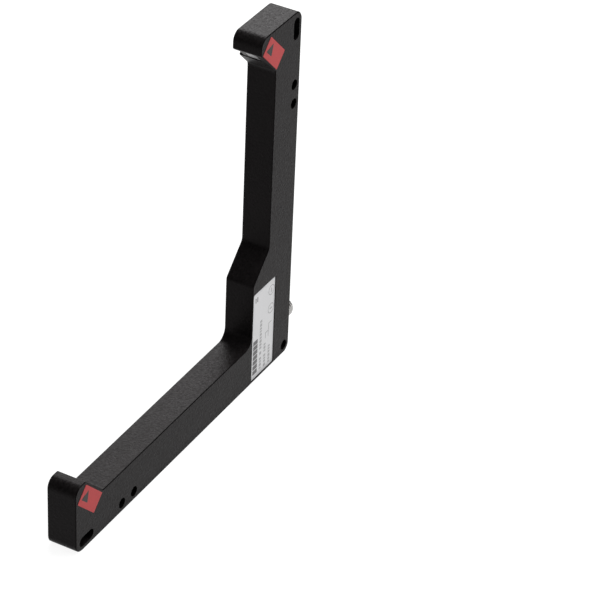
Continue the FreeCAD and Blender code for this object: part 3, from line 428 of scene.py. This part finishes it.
# print on the type plate: plain bars, dashes and rings, in millimetres along and across the plan
plateLook = dict(faceLevel=-11.72, rise=0.012)
printLook = dict(
    blocks=dict(across=25.5, height=3.3, start=2.9, end=18.4, count=7, gap=0.38),
    rows=[dict(across=21.6, height=1.5, start=3.0, end=26.0, gap=0.45, seed=3),
          dict(across=18.3, height=1.4, start=2.4, end=13.0, gap=0.45, seed=5),
          dict(across=15.0, height=1.4, start=2.2, end=10.4, gap=0.45, seed=8)],
    dash=dict(short=0.7, long=1.5, least=0.8, wideGap=3.0, wideShare=0.22),
    rings=dict(centres=[(27.2, 14.5), (35.6, 14.5)], outer=2.2, line=0.3, steps=40),
    boldBars=[dict(centre=(37.0, 26.2), size=(2.2, 0.5)),
              dict(centre=(37.0, 24.9), size=(2.2, 0.5))],
    bars=[dict(centre=(27.2, 14.5), size=(0.5, 2.0)), dict(centre=(35.6, 14.5), size=(2.0, 0.5)),
          dict(centre=(16.4, 17.9), size=(2.6, 0.35)), dict(centre=(16.4, 15.9), size=(2.6, 0.35)),
          dict(centre=(17.7, 16.9), size=(0.35, 2.3)), dict(centre=(19.4, 15.7), size=(3.0, 0.35)),
          dict(centre=(20.9, 14.6), size=(0.35, 2.2))],
    fineSteps=16,
)


# the print runs up the upright leg, and across it from the outer face
def layPlate(flat, levels):
    return planToSpace(flat[:, 1], flat[:, 0], levels)


# ends of the dashes of one printed row: random lengths with a wide gap now and then
def dashSpans(row):
    dash = printLook["dash"]
    draw = np.random.default_rng(row["seed"])
    spans, at = [], row["start"]
    while at < row["end"] - dash["least"]:
        length = draw.uniform(dash["short"], dash["long"])
        spans.append((at, min(at + length, row["end"])))
        at += length + row["gap"] * (dash["wideGap"] if draw.random() < dash["wideShare"] else 1.0)
    return spans


# printed rings: a closed flat band, its rows the inner foot, inner, outer and outer foot circles.
# Its last face is the one underneath
def makeRings(top, bottom):
    look = printLook["rings"]
    turn = np.linspace(0, 2 * math.pi, look["steps"], endpoint=False)
    wave = np.stack([np.cos(turn), np.sin(turn)], axis=1)
    inner, outer = look["outer"] - look["line"], look["outer"]
    rows = [(inner, bottom), (inner, top), (outer, top), (outer, bottom)]
    points, faces = [], []
    for i, centre in enumerate(look["centres"]):
        start = len(rows) * len(turn) * i
        points += [layPlate(np.array(centre) + radius * wave, np.full(len(turn), level))
                   for radius, level in rows]
        faces += gridFaces(len(rows), len(turn), closeRows=True, start=start).tolist()
    return meshPiece("plateRings", np.vstack(points), faces, materials["fineInk"],
                     outward=(0, 1, 0))


def makePrint():
    top, bottom = plateLook["faceLevel"] - plateLook["rise"], plateLook["faceLevel"]
    blocks, fineSteps = printLook["blocks"], printLook["fineSteps"]
    pitch = (blocks["end"] - blocks["start"] + blocks["gap"]) / blocks["count"]
    bold = [boxRim((blocks["start"] + pitch * (i + 0.5) - blocks["gap"] / 2, blocks["across"]),
                   (pitch - blocks["gap"], blocks["height"])) for i in range(blocks["count"])]
    bold += [boxRim(bar["centre"], bar["size"]) for bar in printLook["boldBars"]]
    fine = [boxRim(((a + b) / 2, row["across"]), (b - a, row["height"]), steps=fineSteps)
            for row in printLook["rows"] for a, b in dashSpans(row)]
    fine += [boxRim(bar["centre"], bar["size"], steps=fineSteps) for bar in printLook["bars"]]
    printed = [patchPiece("plateBlocks", bold, layPlate, top, bottom, materials["boldInk"]),
               patchPiece("plateDashes", fine, layPlate, top, bottom, materials["fineInk"]),
               makeRings(top, bottom)]
    for piece in printed:
        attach(piece, "sensor_body")


makePrint()
print("stage: print on the plate")


# beam marks: a red sticker with rounded corners and a printed triangle, along each slanted face
markLook = dict(reach=29.0, tip=143.6, size=(14.5, 7.8), corner=0.05, steps=64, base=-12.0,
                sticker=-12.086, print=-12.1)
marks = {
    "receiver": dict(mirror=False, centre=(8.15, 4.45),
                     triangle=[(1.95, 2.75), (7.15, 2.75), (4.8, 7.25)]),
    "emitter": dict(mirror=True, centre=(8.3, 4.7),
                    triangle=[(2.2, 6.45), (7.5, 6.35), (4.6, 2.0)]),
}


# along a slanted face and behind it to the plan: both run at 45 degrees to the legs
def slantPlan(flat, mirror):
    slope = math.sqrt(0.5)
    u = markLook["reach"] - (flat[:, 0] + flat[:, 1]) * slope
    v = markLook["tip"] - (flat[:, 0] - flat[:, 1]) * slope
    return (v, u) if mirror else (u, v)


# the lay of a mark: on the label side, along the slanted face and behind it
def laySlant(mirror):
    def lay(flat, levels):
        return planToSpace(*slantPlan(flat, mirror), levels)
    return lay


def makeMarks():
    for name, mark in marks.items():
        lay = laySlant(mark["mirror"])
        rim = boxRim(mark["centre"], markLook["size"], power=markLook["corner"],
                     steps=markLook["steps"])
        sticker = patchPiece(name + "Sticker", [rim], lay, markLook["sticker"],
                             markLook["base"], materials["markRed"])
        arrow = patchPiece(name + "Arrow", [triangleRim(mark["triangle"])], lay,
                           markLook["print"], markLook["sticker"], materials["arrowInk"])
        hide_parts(name + "_mark")
        for piece in (sticker, arrow):
            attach(piece, "sensor_body")


makeMarks()
print("stage: beam marks")


# window borders: the grey band on each pane beside the back cover, from depth start to depth end
borderLook = dict(centre=4.1, length=5.8, start=2.0, end=4.3, level=0.3, rise=0.012,
                  corner=0.06)


# the lay of a border: along the slanted face and through the thickness, its level behind the face
def layWindow(mirror):
    def lay(flat, levels):
        u, v = slantPlan(np.stack([flat[:, 0], levels], axis=1), mirror)
        return planToSpace(u, v, -flat[:, 1])
    return lay


def makeBorders():
    look = borderLook
    rim = boxRim((look["centre"], (look["start"] + look["end"]) / 2),
                 (look["length"], look["end"] - look["start"]), power=look["corner"])
    for name, mark in marks.items():
        border = patchPiece(name + "Border", [rim], layWindow(mark["mirror"]),
                            look["level"] - look["rise"], look["level"], materials["border"],
                            outward=(1, 0, 1) if mark["mirror"] else (-1, 0, -1))
        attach(border, "sensor_body")


makeBorders()
print("stage: window borders")


# plug sleeve: a turned section whose thread runs round as a helix. At place x and turn a the ridge
# is as high as a clipped triangle wave of x / pitch less a / full turn, and fades at both ends.
# The neck lies at the root's radius, between the foot and the thread
sleeveLook = dict(axis=(-6.0, 9.95), face=3.75, crest=4.0, depth=0.52, pitch=1.0,
                  threadStart=0.5, threadEnd=6.75, run=0.35, flank=2.5, flat=0.2, columns=120,
                  step=0.045, sharpAngle=50, foot=[(-5.0, 2.75), (-5.0, 3.8), (-0.02, 3.8)],
                  neck=(-0.02, 0.3), tip=[(7.0, 3.72), (7.2, 3.52), (7.2, 3.33), (7.12, 3.25),
                                          (1.8, 3.25), (1.8, 2.75)])


def makeSleeve():
    look = sleeveLook
    thread = np.arange(look["threadStart"], look["threadEnd"], look["step"])
    root = look["crest"] - look["depth"]
    section = look["foot"] + [(x, root) for x in look["neck"]]
    section += [(x, look["crest"]) for x in thread] + look["tip"]
    place, radius = np.array(section).T
    turn = np.linspace(0, 2 * math.pi, look["columns"], endpoint=False)
    x, a = np.meshgrid(place, turn, indexing="ij")
    part = (x / look["pitch"] - a / (2 * math.pi)) % 1.0
    ridge = 1 - np.clip(np.abs(part - 0.5) * look["flank"] - look["flat"], 0, 1)
    fromEnd = np.minimum(x - look["threadStart"], look["threadEnd"] - x)
    ridge *= np.clip(fromEnd / look["run"], 0, 1)
    threaded = radius[:, None] == look["crest"]
    r = np.where(threaded, root + look["depth"] * ridge, radius[:, None])
    points = np.stack([look["face"] + x, look["axis"][0] + r * np.cos(a),
                       look["axis"][1] + r * np.sin(a)], axis=-1).reshape(-1, 3) * mm
    faces = gridFaces(len(place), look["columns"], closeRows=True)
    sleeve = meshPiece("threadedSleeve", points, faces, materials["nickel"],
                       outward=(0, -1, 0), sharpAngle=look["sharpAngle"])
    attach(sleeve, "sensor_body")
    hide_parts("connector_shell")


makeSleeve()
print("stage: plug sleeve")


# camera: its turn is a quaternion, the real part first
cameraLook = dict(place=(-0.81762726, -0.45495814, 0.65953229),
                  turn=(0.7690128955, 0.3939968564, -0.2486105512, -0.4376967415),
                  lens=176.77, sensor=36.0, near=0.05, far=20)


def makeCamera():
    data = bpy.data.cameras.new("camera")
    data.lens = cameraLook["lens"]
    data.sensor_width = cameraLook["sensor"]
    data.clip_start = cameraLook["near"]
    data.clip_end = cameraLook["far"]
    camera = bpy.data.objects.new("camera", data)
    camera.location = cameraLook["place"]
    camera.rotation_mode = "QUATERNION"
    camera.rotation_quaternion = cameraLook["turn"]
    bpy.context.scene.collection.objects.link(camera)
    bpy.context.scene.camera = camera


makeCamera()


# lamps: soft boxes aimed at the middle of the object, with a weak white world round them
lamps = {
    "keyBox": dict(place=(0.35, -0.35, 1.7), size=(1.0, 1.0), power=20.0),
    "frontBox": dict(place=(0.55, -1.5, 0.55), size=(1.0, 1.0), power=11.0),
    "backBox": dict(place=(1.15, 0.7, 0.95), size=(1.0, 1.0), power=20.0),
}
studioLook = dict(aim=(-0.04, -0.006, 0.05), worldColor=1.0, worldLevel=0.2)


def makeLamps():
    for name, look in lamps.items():
        data = bpy.data.lights.new(name, "AREA")
        data.shape = "RECTANGLE"
        data.size, data.size_y = look["size"]
        data.energy = look["power"]
        lamp = bpy.data.objects.new(name, data)
        lamp.location = look["place"]
        direction = Vector(studioLook["aim"]) - Vector(look["place"])
        lamp.rotation_euler = direction.to_track_quat("-Z", "Y").to_euler()
        bpy.context.scene.collection.objects.link(lamp)
    world = bpy.data.worlds.new("studio")
    world.use_nodes = True
    setInputs(world.node_tree.nodes["Background"], {"Color": grey(studioLook["worldColor"]),
                                                    "Strength": studioLook["worldLevel"]})
    bpy.context.scene.world = world


makeLamps()
bpy.context.scene.view_settings.view_transform = "Standard"
print("stage: camera and lamps")
